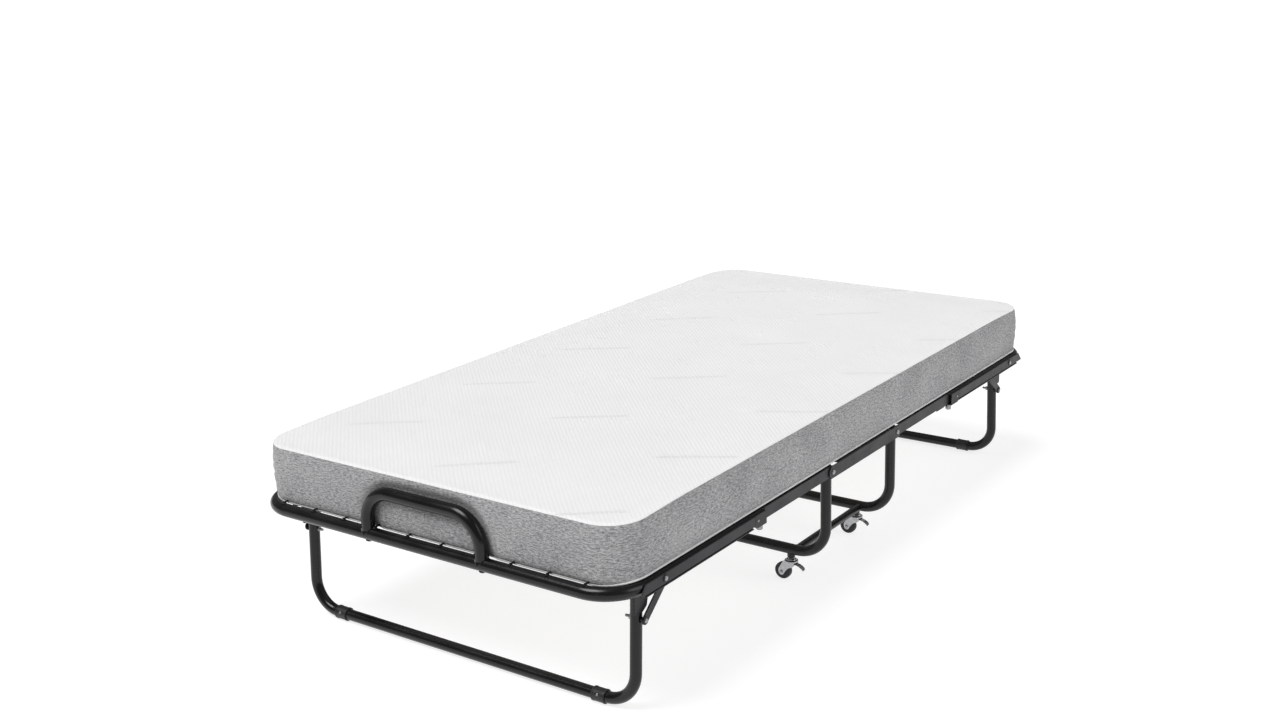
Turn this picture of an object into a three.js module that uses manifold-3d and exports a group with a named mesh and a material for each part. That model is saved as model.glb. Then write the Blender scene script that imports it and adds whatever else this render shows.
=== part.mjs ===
// Rollaway bed, unfolded: a tubular frame in two halves that fold up about a castered centre
// base, a folding leg frame under each half, wire decks and a one-piece foam mattress.
// Millimetres, +Z up, +X to the head, +Y to the left; the origin is on the floor under the middle.
import * as THREE from 'three';
import { mergeVertices } from 'three/addons/utils/BufferGeometryUtils.js';
import Module from 'manifold-3d';

const wasm = await Module();
wasm.setup();

// Driving dimensions
const LENGTH = 1905; // over the end tubes
const WIDTH = 973; // over the strips along the side tubes
const GAP = 0.3; // clearance between touching pieces
const SHEET = 2.2; // plate and angle thickness

const TUBE = 28; // main tube diameter
const TUBE_Z = 279; // height of its centre line
const CORNER = 82; // plan bend radius of the end tube
const STRIP = { thickness: 2.5, bottom: 269, top: 290.5, start: 887, stop: 490.3 };
const END_X = LENGTH / 2 - TUBE / 2;
const SIDE_Y = WIDTH / 2 - STRIP.thickness - TUBE / 2;
const TUBE_END_X = 446; // where the side of the end tube stops, inside the joint bracket
const TUBE_TOP = TUBE_Z + TUBE / 2;

const HANDLE = { diameter: 28, height: 95, halfWidth: 150, bend: 66 };

const HINGE = { x: 156, z: 279 }; // fold pivot of each half
const PIN = 12; // diameter of the fold pin
const RAIL_OUTER_Y = 479.6; // outer face of the inner rail
const LINK_OUTER_Y = 482.5; // outer face of the link rail
const LINK_SHEET = 2.5;

const WIRE = 4; // deck wire diameter
const WELD = 0.4; // how far welded wires sink into each other
const WIRE_PITCH = 88;
const WIRES_ALONG = 10;
const WIRE_Z = TUBE_TOP + GAP + WIRE / 2;
const BAR = { width: 18, height: 6 }; // flat crossbars of the deck
const DECK_HALF_WIDTH = 452.9;
const JOINT_BARS_X = [480, 378]; // crossbars on the two sides of the joint bracket
const HINGE_BAR_X = 190;

// Leg linkage, as x outward from the middle and z: two pivots on the frame, two on the leg
const LEG = { topX: 827, footX: 842, halfWidth: 430.5, diameter: 24, bend: 66, topZ: 264 };
const SLEEVE = { diameter: 30, length: 32, y: 348 };
const BAR_PIVOT = { x: 760, z: 252 };
const LINK_PIVOT = { x: 784, z: 240 };
const LEG_LOWER = { x: 830, z: 193 };
const LEG_UPPER = { x: 830, z: 258 };
const BRACE_Y = 451.2; // outer face of the brace bar
const FLANGE_Y = 447.9; // outer face of the side angle's upright flange
const FLANGE_BOTTOM = 250;
const LINK_Y = 445.4; // outer face of the short link
const LEG_PLATE_Y = 442.9; // outer face of the plate on the leg
const BRACKET_Y = 455.7; // outer face of the joint bracket's inner plate

// Centre base
const BASE = { diameter: 24, halfWidth: 464, barZ: 75, bend: 70, topZ: 290 };
const BASE_BAR = { diameter: 18, y: 388 };
const SUPPORT_BAR_X = 92;

// Casters
const CASTER = { y: 376, trail: 20, wheel: 39, tread: 15, cheekGap: 18, cheek: 2 };
const STEM = 10;
const PEDAL_PIVOT = { y: -5, z: 38 };

// Mattress
const MATTRESS = { length: 1846, width: 948, thickness: 116, corner: 75, edge: 14 };
const MATTRESS_Z = WIRE_Z + WIRE / 2 + GAP;
const BEND_X = 280; // the flexing middle reaches this far each way

const colours = {
  frame: { color: 0x121214, roughness: 0.25, metalness: 0.6 },
  plastic: { color: 0x1a1a1a, roughness: 0.5, metalness: 0 },
  chrome: { color: 0xc9ccd0, roughness: 0.12, metalness: 1 },
  tyre: { color: 0x161616, roughness: 0.7, metalness: 0 },
  fabric: { color: 0xb9b8bc, roughness: 0.9, metalness: 0 },
};

// A closed geometry as a solid, and back
function solidOf(geometry) {
  const plain = geometry.clone();
  plain.deleteAttribute('normal');
  plain.deleteAttribute('uv');
  const merged = mergeVertices(plain, 1e-4);
  return new wasm.Manifold(new wasm.Mesh({
    numProp: 3,
    vertProperties: new Float32Array(merged.attributes.position.array),
    triVerts: new Uint32Array(merged.index.array),
  }));
}

function geometryOf(solid) {
  const mesh = solid.getMesh();
  const geometry = new THREE.BufferGeometry();
  geometry.setAttribute('position', new THREE.BufferAttribute(mesh.vertProperties, 3));
  geometry.setIndex(new THREE.BufferAttribute(mesh.triVerts, 1));
  return geometry.toNonIndexed();
}

function joined(geometries) {
  const whole = geometries.map(solidOf).reduce((sum, solid) => sum.add(solid));
  return geometryOf(whole);
}

function cut(geometry, tools) {
  const left = tools.map(solidOf).reduce((rest, tool) => rest.subtract(tool), solidOf(geometry));
  return geometryOf(left);
}

// A path of straight runs with round bends, sampled only where its direction changes
class BentPath extends THREE.Curve {
  constructor(corners, bend, bendSteps) {
    super();
    const last = corners.length - 1;
    const heading = (i) => corners[i + 1].clone().sub(corners[i]).normalize();
    this.stations = [{ point: corners[0], tangent: heading(0) }];
    for (let i = 1; i < last; i += 1) {
      const before = heading(i - 1);
      const after = heading(i);
      const turn = before.angleTo(after);
      const reach = bend * Math.tan(turn / 2);
      const start = corners[i].clone().addScaledVector(before, -reach);
      const inward = after.clone().addScaledVector(before, -before.dot(after)).normalize();
      for (let step = 0; step <= bendSteps; step += 1) {
        const angle = turn * step / bendSteps;
        const point = start.clone()
          .addScaledVector(before, bend * Math.sin(angle))
          .addScaledVector(inward, bend * (1 - Math.cos(angle)));
        const tangent = before.clone().multiplyScalar(Math.cos(angle))
          .addScaledVector(inward, Math.sin(angle));
        this.stations.push({ point, tangent });
      }
    }
    this.stations.push({ point: corners[last], tangent: heading(last - 1) });
  }

  station(u) {
    return this.stations[Math.round(u * (this.stations.length - 1))];
  }

  getPointAt(u) {
    return this.station(u).point.clone();
  }

  getTangentAt(u) {
    return this.station(u).tangent.clone();
  }
}

function tube(corners, diameter, bend = 0, sides = 12, bendSteps = 6) {
  const section = new THREE.Shape();
  section.absarc(0, 0, diameter / 2, 0, Math.PI * 2);
  const path = new BentPath(corners.map((c) => new THREE.Vector3(...c)), bend, bendSteps);
  return new THREE.ExtrudeGeometry(section, {
    curveSegments: sides / 2,
    steps: path.stations.length - 1,
    extrudePath: path,
  });
}

function block(x0, x1, y0, y1, z0, z1) {
  const box = new THREE.BoxGeometry(Math.abs(x1 - x0), Math.abs(y1 - y0), Math.abs(z1 - z0));
  return box.translate((x0 + x1) / 2, (y0 + y1) / 2, (z0 + z1) / 2);
}

// A flat plate standing in the X-Z plane, from its outer face inward along +Y
function plateXZ(shape, outerY, thickness, curveSegments = 6) {
  const plate = new THREE.ExtrudeGeometry(shape, { depth: thickness, bevelEnabled: false, curveSegments });
  return plate.rotateX(Math.PI / 2).translate(0, outerY + thickness, 0);
}

function outline(points) {
  return new THREE.Shape(points.map(([x, z]) => new THREE.Vector2(x, z)));
}

// A strap with round ends between two pivots
function strap(a, b, width) {
  const angle = Math.atan2(b.z - a.z, b.x - a.x);
  const shape = new THREE.Shape();
  shape.absarc(a.x, a.z, width / 2, angle + Math.PI / 2, angle + Math.PI * 1.5);
  shape.absarc(b.x, b.z, width / 2, angle - Math.PI / 2, angle + Math.PI / 2);
  return shape;
}

// A round pin or boss along Y
function pinY(x, z, diameter, y0, y1, sides = 12) {
  const pin = new THREE.CylinderGeometry(diameter / 2, diameter / 2, Math.abs(y1 - y0), sides);
  return pin.translate(x, (y0 + y1) / 2, z);
}

// The foot end's right-hand piece turned into its mirror image at the other end or side
function mirrored(geometry, end, side) {
  const copy = geometry.index ? geometry.toNonIndexed() : geometry.clone();
  copy.scale(-end, -side, 1);
  if (end * side < 0) {
    const at = copy.attributes.position;
    for (let i = 0; i < at.count; i += 3) {
      const first = new THREE.Vector3().fromBufferAttribute(at, i);
      const second = new THREE.Vector3().fromBufferAttribute(at, i + 1);
      at.setXYZ(i, second.x, second.y, second.z);
      at.setXYZ(i + 1, first.x, first.y, first.z);
    }
  }
  copy.computeVertexNormals();
  return copy;
}

// --- pieces of the foot half, right-hand side, at negative x and y ---

function endTube() {
  const bentTube = tube([
    [-TUBE_END_X, -SIDE_Y, TUBE_Z],
    [-END_X, -SIDE_Y, TUBE_Z],
    [-END_X, SIDE_Y, TUBE_Z],
    [-TUBE_END_X, SIDE_Y, TUBE_Z],
  ], TUBE, CORNER, 12, 8);
  return joined([bentTube, sideStrip(-1), sideStrip(1)]);
}

// The flat strip welded along the outside of each side tube
function sideStrip(side) {
  const outer = side * WIDTH / 2;
  const inner = side * (SIDE_Y + TUBE / 2 - WELD);
  return block(-STRIP.start, -STRIP.stop, outer, inner, STRIP.bottom, STRIP.top);
}

function handle() {
  const top = TUBE_Z + HANDLE.height;
  const loop = tube([
    [-END_X, -HANDLE.halfWidth, TUBE_Z],
    [-END_X, -HANDLE.halfWidth, top],
    [-END_X, HANDLE.halfWidth, top],
    [-END_X, HANDLE.halfWidth, TUBE_Z],
  ], HANDLE.diameter, HANDLE.bend);
  // the lower ends are coped to sit on the end tube
  const saddle = tube([[-END_X, -SIDE_Y, TUBE_Z], [-END_X, SIDE_Y, TUBE_Z]], TUBE + 4 * GAP, 0, 24);
  const below = block(-END_X - TUBE, -END_X + TUBE, -SIDE_Y, SIDE_Y, TUBE_Z - TUBE, TUBE_Z);
  return cut(loop, [saddle, below]);
}

function sideAngle() {
  const top = TUBE_Z - TUBE / 2 - GAP;
  const start = -870;
  const stop = -JOINT_BARS_X[0] - 12;
  const tab = { halfWidth: 9, slope: 3, bottom: LINK_PIVOT.z - 5.5 };
  const flange = plateXZ(outline([
    [start, top],
    [start, FLANGE_BOTTOM],
    [-LINK_PIVOT.x - tab.halfWidth - tab.slope, FLANGE_BOTTOM],
    [-LINK_PIVOT.x - tab.halfWidth, tab.bottom],
    [-LINK_PIVOT.x + tab.halfWidth, tab.bottom],
    [-LINK_PIVOT.x + tab.halfWidth + tab.slope, FLANGE_BOTTOM],
    [stop, FLANGE_BOTTOM],
    [stop, top],
  ]), -FLANGE_Y, SHEET);
  const web = block(start, stop, -SIDE_Y - TUBE / 2, -FLANGE_Y + SHEET, top - SHEET, top);
  return joined([flange, web]);
}

function jointBracket() {
  const top = TUBE_Z - TUBE / 2 - GAP;
  const start = -490;
  const tubeStop = -TUBE_END_X - GAP;
  const railReach = -400;
  const deepest = 246;
  const web = block(start + 8, tubeStop, -WIDTH / 2, -BRACKET_Y + SHEET, top - SHEET, top);
  const inner = plateXZ(outline([
    [start, TUBE_TOP - 4],
    [start, FLANGE_BOTTOM],
    [-470, deepest],
    [-430, deepest],
    [railReach, FLANGE_BOTTOM + 12],
    [railReach, TUBE_TOP - 4],
  ]), -BRACKET_Y, SHEET);
  const outer = plateXZ(outline([
    [start, STRIP.top],
    [start, STRIP.bottom],
    [start + 8, top - SHEET],
    [tubeStop, top - SHEET],
    [tubeStop, STRIP.top],
  ]), -WIDTH / 2, SHEET);
  return joined([web, inner, outer]);
}

function innerRail() {
  const start = -TUBE_END_X + GAP * 10;
  const bottom = 268;
  const endRadius = 14;
  const flangeStop = -HINGE.x - endRadius - 5; // clear of the U-frame's upright
  const shape = new THREE.Shape();
  shape.moveTo(start, bottom);
  shape.lineTo(-HINGE.x - endRadius, bottom);
  shape.lineTo(-HINGE.x, HINGE.z - endRadius);
  shape.absarc(-HINGE.x, HINGE.z, endRadius, -Math.PI / 2, Math.PI / 2);
  shape.lineTo(flangeStop, TUBE_TOP);
  shape.lineTo(start, TUBE_TOP);
  const upright = plateXZ(shape, -RAIL_OUTER_Y, SHEET);
  const innerEdge = -DECK_HALF_WIDTH - GAP;
  const flange = block(start, flangeStop, -RAIL_OUTER_Y, innerEdge, TUBE_TOP - SHEET, TUBE_TOP);
  const bore = pinY(-HINGE.x, HINGE.z, PIN + 2 * GAP, -RAIL_OUTER_Y - 1, -RAIL_OUTER_Y + SHEET + 1, 16);
  return cut(joined([upright, flange]), [bore]);
}

// Wires and crossbars welded into one panel between the given stations
function deckPanel(wireFrom, wireTo, bars, crossWires) {
  const pieces = [];
  const firstY = -WIRE_PITCH * (WIRES_ALONG - 1) / 2;
  const barTop = WIRE_Z - WIRE / 2 + WELD;
  const crossZ = WIRE_Z - WIRE + WELD;
  for (const x of bars) {
    const half = BAR.width / 2;
    pieces.push(block(-x - half, -x + half, -DECK_HALF_WIDTH, DECK_HALF_WIDTH, barTop - BAR.height, barTop));
  }
  for (const x of crossWires) {
    pieces.push(tube([[-x, -DECK_HALF_WIDTH, crossZ], [-x, DECK_HALF_WIDTH, crossZ]], WIRE, 0, 6));
  }
  for (let i = 0; i < WIRES_ALONG; i += 1) {
    const y = firstY + i * WIRE_PITCH;
    pieces.push(tube([[-wireFrom, y, WIRE_Z], [-wireTo, y, WIRE_Z]], WIRE, 0, 6));
  }
  return joined(pieces);
}

function outerDeck() {
  return deckPanel(END_X + 3, JOINT_BARS_X[0] - 6, [JOINT_BARS_X[0]], [572, 664, 756, 848]);
}

function innerDeck() {
  return deckPanel(JOINT_BARS_X[1] + 6, HINGE_BAR_X - 6, [JOINT_BARS_X[1], HINGE_BAR_X], [284]);
}

function braceBar() {
  const thickness = 3;
  const bar = plateXZ(strap(negated(BAR_PIVOT), negated(LEG_LOWER), 18), -BRACE_Y, thickness);
  const eye = pinY(-BAR_PIVOT.x, BAR_PIVOT.z, 20, -BRACE_Y, -BRACE_Y + thickness, 20);
  return joined([bar, eye]);
}

function shortLink() {
  return plateXZ(strap(negated(LINK_PIVOT), negated(LEG_UPPER), 12), -LINK_Y, SHEET);
}

function negated(place) {
  return { x: -place.x, z: place.z };
}

function legFrame() {
  const footZ = SLEEVE.diameter / 2;
  const loop = tube([
    [-LEG.topX, -LEG.halfWidth, LEG.topZ],
    [-LEG.footX, -LEG.halfWidth, footZ],
    [-LEG.footX, LEG.halfWidth, footZ],
    [-LEG.topX, LEG.halfWidth, LEG.topZ],
  ], LEG.diameter, LEG.bend);
  return joined([loop, legFittings(), mirrored(legFittings(), -1, 1)]);
}

// The plate at the top of the leg and the boss of its lower pivot
function legFittings() {
  const half = 22;
  const plate = plateXZ(outline([
    [-LEG_UPPER.x - half, LEG.topZ],
    [-LEG_UPPER.x - half, 208],
    [-LEG_UPPER.x + 3, 206],
    [-LEG_UPPER.x + 18, 215],
    [-LEG_UPPER.x + half, 232],
    [-LEG_UPPER.x + half, LEG.topZ],
  ]), -LEG_PLATE_Y, 5);
  const lower = pinY(-LEG_LOWER.x, LEG_LOWER.z, 10, -BRACE_Y + 3 + GAP, -LEG.halfWidth);
  return joined([plate, lower]);
}

function footSleeve() {
  const footZ = SLEEVE.diameter / 2;
  const half = SLEEVE.length / 2;
  const sleeve = pinY(-LEG.footX, footZ, SLEEVE.diameter, -SLEEVE.y - half, -SLEEVE.y + half, 20);
  const bore = pinY(-LEG.footX, footZ, LEG.diameter + 2 * GAP, -SLEEVE.y - half - 1, -SLEEVE.y + half + 1);
  return cut(sleeve, [bore]);
}

// --- pieces of the centre base ---

function uFrame() {
  const loop = tube([
    [-HINGE.x, -BASE.halfWidth, BASE.topZ],
    [-HINGE.x, -BASE.halfWidth, BASE.barZ],
    [-HINGE.x, BASE.halfWidth, BASE.barZ],
    [-HINGE.x, BASE.halfWidth, BASE.topZ],
  ], BASE.diameter, BASE.bend);
  const pieces = [loop];
  const bores = [];
  const socketBottom = BASE.barZ - BASE.diameter / 2 - 7;
  for (const side of [-1, 1]) {
    const pinEnd = side * (LINK_OUTER_Y - LINK_SHEET - GAP);
    pieces.push(pinY(-HINGE.x, HINGE.z, PIN, side * BASE.halfWidth, pinEnd));
    const socket = new THREE.CylinderGeometry(9, 9, BASE.barZ - socketBottom, 16);
    const socketMiddle = (BASE.barZ + socketBottom) / 2;
    pieces.push(socket.rotateX(Math.PI / 2).translate(-HINGE.x, side * CASTER.y, socketMiddle));
    const bore = new THREE.CylinderGeometry(STEM / 2 + GAP, STEM / 2 + GAP, 18, 16);
    bores.push(bore.rotateX(Math.PI / 2).translate(-HINGE.x, side * CASTER.y, socketBottom + 8));
  }
  return cut(joined(pieces), bores);
}

function linkRail() {
  const reach = HINGE.x + 17;
  const bottom = 265;
  const top = TUBE_TOP + 0.5;
  const chamfer = 9;
  const flangeReach = 128;
  const upright = plateXZ(outline([
    [-reach, bottom + chamfer],
    [-reach + chamfer, bottom],
    [reach - chamfer, bottom],
    [reach, bottom + chamfer],
    [reach, top - chamfer],
    [reach - chamfer, top],
    [-reach + chamfer, top],
    [-reach, top - chamfer],
  ]), -LINK_OUTER_Y, LINK_SHEET);
  const flange = block(-flangeReach, flangeReach, -LINK_OUTER_Y, -458, top - LINK_SHEET, top);
  return joined([upright, flange]);
}

function supportBar() {
  const top = TUBE_TOP + 0.5;
  const half = BAR.width / 2;
  const reach = LINK_OUTER_Y - LINK_SHEET - GAP;
  const height = BAR.height + 2;
  const under = top - LINK_SHEET - GAP;
  return block(-SUPPORT_BAR_X - half, -SUPPORT_BAR_X + half, -reach, reach, under - height, under);
}

function baseBar() {
  const reach = HINGE.x - BASE.diameter / 2 - GAP;
  return tube([[-reach, -BASE_BAR.y, BASE.barZ], [reach, -BASE_BAR.y, BASE.barZ]], BASE_BAR.diameter);
}

// --- caster pieces, about the swivel axis at x = y = 0, trailing to +Y ---

// A plate in the Y-Z plane from x0, of the given thickness
function plateYZ(points, x0, thickness) {
  const shape = outline(points);
  const plate = new THREE.ExtrudeGeometry(shape, { depth: thickness, bevelEnabled: false });
  return plate.rotateX(Math.PI / 2).rotateZ(Math.PI / 2).translate(x0, 0, 0);
}

function pinX(y, z, diameter, x0, x1, sides = 12) {
  const pin = new THREE.CylinderGeometry(diameter / 2, diameter / 2, Math.abs(x1 - x0), sides);
  return pin.rotateZ(Math.PI / 2).translate((x0 + x1) / 2, y, z);
}

function casterFork() {
  const crown = { z0: 44, z1: 47, dishTop: 53 };
  const stemTop = 71;
  const profile = [
    [0, crown.z0 + 1],
    [14, crown.z0 + 1],
    [15, crown.z1 + 2],
    [10, crown.dishTop],
    [STEM / 2, crown.dishTop],
    [STEM / 2, stemTop],
    [0, stemTop],
  ];
  const head = new THREE.LatheGeometry(profile.map(([r, z]) => new THREE.Vector2(r, z)), 12);
  head.rotateX(Math.PI / 2);
  const outerX = CASTER.cheekGap / 2 + CASTER.cheek;
  const plate = block(-outerX, outerX, -11, 13, crown.z0, crown.z1);
  const axle = pinX(CASTER.trail, CASTER.wheel / 2, 6, -outerX - 1, outerX + 1);
  const cheeks = [-outerX, CASTER.cheekGap / 2].map((x0) => plateYZ([
    [-11, crown.z1],
    [-11, 35],
    [0, 31],
    [12, 17],
    [17, 12],
    [24, 12],
    [27, 17],
    [27, 24],
    [13, crown.z1],
  ], x0, CASTER.cheek));
  return joined([head, plate, axle, ...cheeks]);
}

function casterWheel() {
  const radius = CASTER.wheel / 2;
  const half = CASTER.tread / 2;
  const bore = 3 + GAP;
  const profile = [
    [bore, -half],
    [radius - 2, -half],
    [radius, -half + 2],
    [radius, half - 2],
    [radius - 2, half],
    [bore, half],
    [bore, -half],
  ];
  const wheel = new THREE.LatheGeometry(profile.map(([r, x]) => new THREE.Vector2(r, x)), 24);
  return wheel.rotateZ(-Math.PI / 2).translate(0, CASTER.trail, radius);
}

function casterPedal() {
  const width = 13;
  const plate = plateYZ([
    [-3, 39],
    [-4, 41],
    [-14, 42],
    [-26, 38],
    [-32, 33],
    [-31, 31],
    [-25, 35],
    [-14, 39],
    [-7, 37],
    [-3, 29],
    [-1, 30],
  ], -width / 2, width);
  const reach = CASTER.cheekGap / 2 - GAP;
  return joined([plate, pinX(PEDAL_PIVOT.y, PEDAL_PIVOT.z, 4, -reach, reach)]);
}

// --- mattress ---

function wholeMattress() {
  const { length, width, thickness, corner, edge } = MATTRESS;
  const halfX = length / 2 - edge;
  const halfY = width / 2 - edge;
  const radius = corner - edge;
  const plan = new THREE.Shape();
  plan.absarc(halfX - radius, halfY - radius, radius, 0, Math.PI / 2);
  plan.absarc(-halfX + radius, halfY - radius, radius, Math.PI / 2, Math.PI);
  plan.absarc(-halfX + radius, -halfY + radius, radius, Math.PI, Math.PI * 1.5);
  plan.absarc(halfX - radius, -halfY + radius, radius, Math.PI * 1.5, Math.PI * 2);
  const body = new THREE.ExtrudeGeometry(plan, {
    depth: thickness - 2 * edge,
    bevelThickness: edge,
    bevelSize: edge,
    bevelSegments: 3,
    curveSegments: 6,
  });
  return body.translate(0, 0, MATTRESS_Z + edge);
}

function mattressSlice(fromX, toX) {
  const window = block(fromX, toX, -MATTRESS.width, MATTRESS.width, 0, MATTRESS_Z * 2);
  return geometryOf(solidOf(wholeMattress()).intersect(solidOf(window)));
}

// --- assembly ---

const bed = new THREE.Group();
bed.name = 'rollaway_bed';

function add(name, geometry, look) {
  const mesh = new THREE.Mesh(geometry, new THREE.MeshStandardMaterial(colours[look]));
  mesh.name = name;
  bed.add(mesh);
  return mesh;
}

const ends = [['foot', -1], ['head', 1]];
const sides = [['right', -1], ['left', 1]];

for (const [end, alongX] of ends) {
  add(`${end}_end_tube`, mirrored(endTube(), alongX, -1), 'frame');
  add(`${end}_handle`, mirrored(handle(), alongX, -1), 'frame');
  add(`${end}_outer_deck`, mirrored(outerDeck(), alongX, -1), 'frame');
  add(`${end}_inner_deck`, mirrored(innerDeck(), alongX, -1), 'frame');
  add(`${end}_leg_frame`, mirrored(legFrame(), alongX, -1), 'frame');
  add(`${end}_u_frame`, mirrored(uFrame(), alongX, -1), 'frame');
  add(`${end}_support_bar`, mirrored(supportBar(), alongX, -1), 'frame');
  for (const [side, acrossY] of sides) {
    add(`${end}_${side}_side_angle`, mirrored(sideAngle(), alongX, acrossY), 'frame');
    add(`${end}_${side}_joint_bracket`, mirrored(jointBracket(), alongX, acrossY), 'frame');
    add(`${end}_${side}_inner_rail`, mirrored(innerRail(), alongX, acrossY), 'frame');
    add(`${end}_${side}_brace_bar`, mirrored(braceBar(), alongX, acrossY), 'frame');
    add(`${end}_${side}_short_link`, mirrored(shortLink(), alongX, acrossY), 'frame');
    add(`${end}_${side}_foot_sleeve`, mirrored(footSleeve(), alongX, acrossY), 'plastic');
    const caster = {
      fork: add(`${end}_${side}_caster_fork`, casterFork(), 'chrome'),
      wheel: add(`${end}_${side}_caster_wheel`, casterWheel(), 'tyre'),
      pedal: add(`${end}_${side}_caster_pedal`, casterPedal(), 'chrome'),
    };
    for (const piece of Object.values(caster)) {
      piece.position.set(alongX * HINGE.x, acrossY * CASTER.y, 0);
    }
  }
}

for (const [side, acrossY] of sides) {
  add(`${side}_link_rail`, mirrored(linkRail(), -1, acrossY), 'frame');
  add(`${side}_base_bar`, mirrored(baseBar(), -1, acrossY), 'frame');
}

add('foot_mattress', mattressSlice(-MATTRESS.length, -BEND_X - GAP), 'fabric');
add('middle_mattress', mattressSlice(-BEND_X, BEND_X), 'fabric');
add('head_mattress', mattressSlice(BEND_X + GAP, MATTRESS.length), 'fabric');

export default bed;
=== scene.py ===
"""Looks of the rollaway bed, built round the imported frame. Metres, +Z up, +X to the head end."""
import math

import bmesh
import bpy
from mathutils import Euler, Matrix, Vector, noise


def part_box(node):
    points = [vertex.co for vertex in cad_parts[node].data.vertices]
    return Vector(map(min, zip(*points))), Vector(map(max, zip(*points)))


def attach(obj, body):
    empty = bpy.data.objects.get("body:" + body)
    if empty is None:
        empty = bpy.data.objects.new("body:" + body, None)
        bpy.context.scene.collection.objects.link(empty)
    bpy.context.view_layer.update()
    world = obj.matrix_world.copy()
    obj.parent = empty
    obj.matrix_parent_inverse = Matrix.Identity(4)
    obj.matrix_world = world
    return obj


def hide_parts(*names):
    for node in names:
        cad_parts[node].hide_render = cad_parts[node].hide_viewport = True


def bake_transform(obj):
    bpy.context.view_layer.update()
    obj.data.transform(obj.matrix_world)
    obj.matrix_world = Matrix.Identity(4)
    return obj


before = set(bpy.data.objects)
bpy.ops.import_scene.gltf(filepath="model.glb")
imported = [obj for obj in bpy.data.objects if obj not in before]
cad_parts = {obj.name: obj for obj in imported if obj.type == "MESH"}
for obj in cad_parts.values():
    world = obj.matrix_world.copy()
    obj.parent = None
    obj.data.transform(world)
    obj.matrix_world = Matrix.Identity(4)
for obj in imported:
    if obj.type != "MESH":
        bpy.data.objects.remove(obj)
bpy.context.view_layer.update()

ENDS = {"foot": -1, "head": 1}
SIDES = {"right": -1, "left": 1}
MM = 0.001


def high(node):
    """The highest corner of a CAD node's box."""
    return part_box(node)[1]


def low(node):
    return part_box(node)[0]


# Driving dimensions of the frame, as positive x and y of the head end's left-hand side
TUBE_R = 14 * MM
TUBE_BEND = 82 * MM
TUBE_Z = high("head_end_tube").z - TUBE_R
END_X = high("head_end_tube").x - TUBE_R
STRIP_Y = high("head_end_tube").y
STRIP = 2.5 * MM
SIDE_Y = STRIP_Y - STRIP - TUBE_R
STRIP_CORNERS = ((490.3, 269), (892, 269), (872, 290.5), (490.3, 290.5))
STRIP_OUTLINE = [(x * MM, z * MM) for x, z in STRIP_CORNERS]
STRIP_BOLT = (811 * MM, 280 * MM)
BRACKET_RIVET = (479 * MM, 278 * MM)
BRACKET_STUD_X = 455 * MM
TUBE_STOP_X = low("head_end_tube").x
TUBE_TOP = TUBE_Z + TUBE_R

HANDLE_R = 14 * MM
HANDLE_BEND = 66 * MM
HANDLE_Z = high("head_handle").z - HANDLE_R
HANDLE_Y = high("head_handle").y - HANDLE_R

LEG_R = 12 * MM
LEG_BEND = 66 * MM
LEG_TOP_X = 827 * MM
LEG_FOOT_X = 842 * MM
LEG_Y = 430.5 * MM
LEG_TOP = high("head_leg_frame").z
LEG_PLATE_Y = 442.9 * MM
SLEEVE_R = 15 * MM
SLEEVE_Y = (low("head_left_foot_sleeve").y + high("head_left_foot_sleeve").y) / 2

BASE_R = 12 * MM
BASE_BEND = 70 * MM
BASE_Y = 464 * MM
BASE_Z = 75 * MM
BASE_TOP = high("head_u_frame").z
HINGE_X = 156 * MM
HINGE_Z = 279 * MM
BASE_BAR_R = 9 * MM
BASE_BAR_Y = (low("left_base_bar").y + high("left_base_bar").y) / 2
CASTER_Y = 376 * MM

WIRE_R = 2 * MM
WIRE_Z = high("head_outer_deck").z - WIRE_R
CROSS_WIRE_Z = WIRE_Z - 3.6 * MM
WIRE_PITCH = 88 * MM
WIRE_COUNT = 10
DECK_Y = high("head_outer_deck").y
OUTER_CROSS_WIRES = [x * MM for x in (572, 664, 756, 848)]
INNER_CROSS_WIRES = [284 * MM]
OUTER_BARS = [480 * MM]
INNER_BARS = [378 * MM, 190 * MM]
BAR_WIDTH = 18 * MM
BAR_HEIGHT = 6 * MM

FLANGE_Y = 447.9 * MM
LINK_RAIL_Y = high("left_link_rail").y
BRACE_Y = 451.2 * MM
LINK_PIVOT = (784 * MM, 240 * MM)
LEG_LOWER = (830 * MM, 193 * MM)
LEG_PLATE_X = 830 * MM
LEG_PLATE = 5 * MM

# The casters; heights are above the floor
TRAIL = 20 * MM
WHEEL_R = 19.5 * MM
CHEEK_X = 9 * MM
CHEEK = 2 * MM

MATTRESS_X = high("head_mattress").x
MATTRESS_Y = high("head_mattress").y
MATTRESS_BOTTOM = low("head_mattress").z
MATTRESS_HEIGHT = high("head_mattress").z - MATTRESS_BOTTOM
MATTRESS_CORNER = 75 * MM

# How the cover stands off the plain block of foam
TOP_EDGE = 10 * MM
CROWN = 3.5 * MM
SIDE_LIFT = 4 * MM
BULGE = 4 * MM
END_PUSH = 5 * MM
HEM_SAG = 3.7 * MM
END_SAG = 5.2 * MM

# How finely the cover is cut: along its sides, and in columns across it
PLAN_STEP = 11 * MM
COLUMNS = 72

CAMERA_PLACE = (-3.01067, -2.02159, 1.48081)
CAMERA_YAW = 35.66
CAMERA_DOWN = 16.20
CAMERA_ROLL = -1.78
CAMERA_LENS = 44.227


# --- node materials ---

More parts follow.
